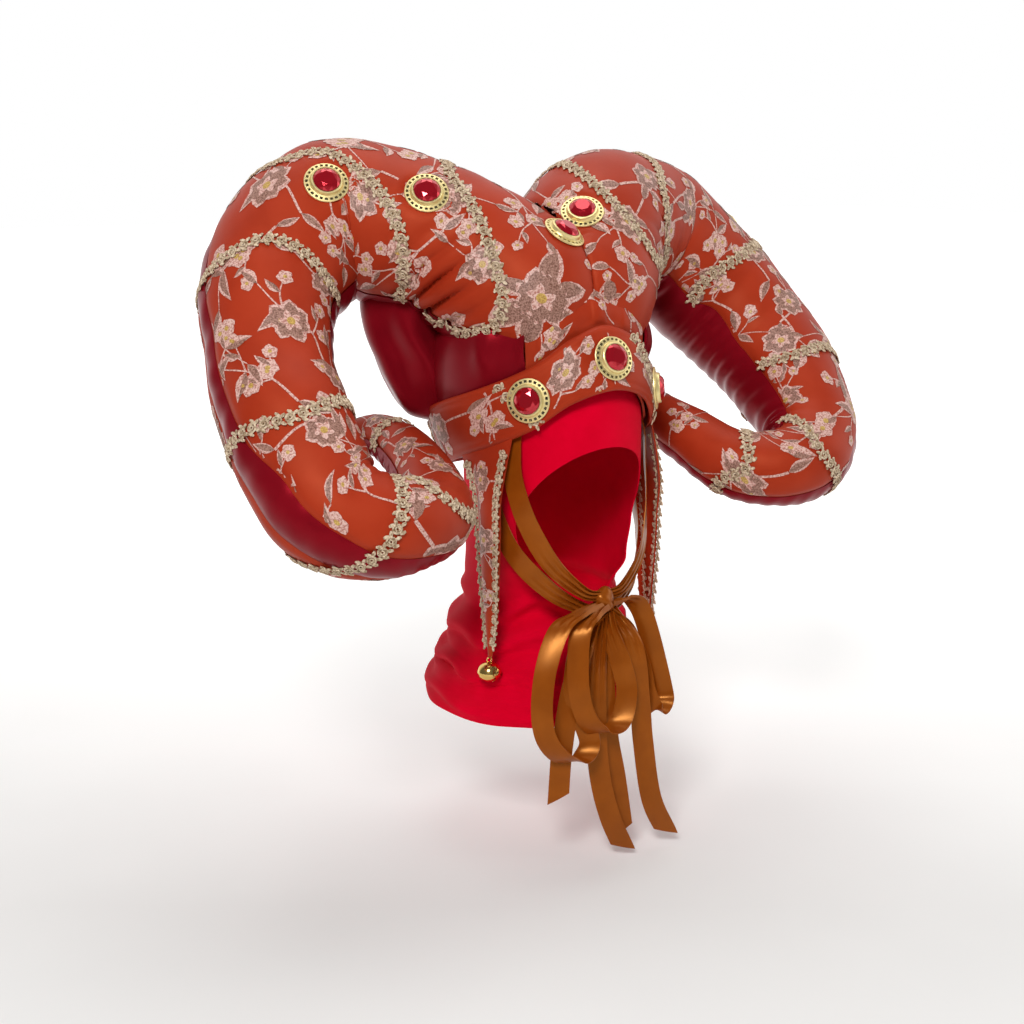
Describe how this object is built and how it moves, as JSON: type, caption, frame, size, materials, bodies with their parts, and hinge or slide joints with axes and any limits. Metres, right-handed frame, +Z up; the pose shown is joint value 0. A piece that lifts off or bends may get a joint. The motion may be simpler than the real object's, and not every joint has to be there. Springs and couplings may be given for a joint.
{
  "type": "horned headdress",
  "caption": "Costume headdress with stuffed curling brocade horns on a cap with a jewelled brow band, ear flaps with bells, ribbon ties and a knitted hood.",
  "frame": {"origin": "on the middle plane of the head opening, level with the centre jewel of the brow band, where the headdress sits on a head", "axes": "+Z up, the face looks along -Y, +X is the wearer's left"},
  "size_m": [0.6852, 0.3304, 0.6745],
  "materials": {
    "brocade": "woven floral brocade",
    "satin": "satin",
    "knit": "fine jersey knit",
    "ribbon": "satin ribbon",
    "gold": "pale gold plate",
    "ruby": "faceted"
  },
  "bodies": {
    "root": {"crown_front": "brocade", "crown_back": "satin", "brow_band": "brocade", "hood": "knit", "horn_right": "brocade", "gusset_inner_right": "satin", "gusset_outer_right": "satin", "side_puff_right": "satin", "ear_flap_right": "brocade", "bell_right": "gold", "strap_front_right": "ribbon", "strap_back_right": "ribbon", "setting_right_base": "gold", "stone_right_base": "ruby", "setting_right_middle": "gold", "stone_right_middle": "ruby", "setting_right_outer": "gold", "stone_right_outer": "ruby", "horn_left": "brocade", "gusset_inner_left": "satin", "gusset_outer_left": "satin", "side_puff_left": "satin", "ear_flap_left": "brocade", "bell_left": "gold", "strap_front_left": "ribbon", "strap_back_left": "ribbon", "setting_left_base": "gold", "stone_left_base": "ruby", "setting_left_middle": "gold", "stone_left_middle": "ruby", "setting_left_outer": "gold", "stone_left_outer": "ruby", "setting_band_right": "gold", "stone_band_right": "ruby", "setting_band_centre": "gold", "stone_band_centre": "ruby", "setting_band_left": "gold", "stone_band_left": "ruby", "ribbon_bow": "ribbon"}
  },
  "joints": []
}
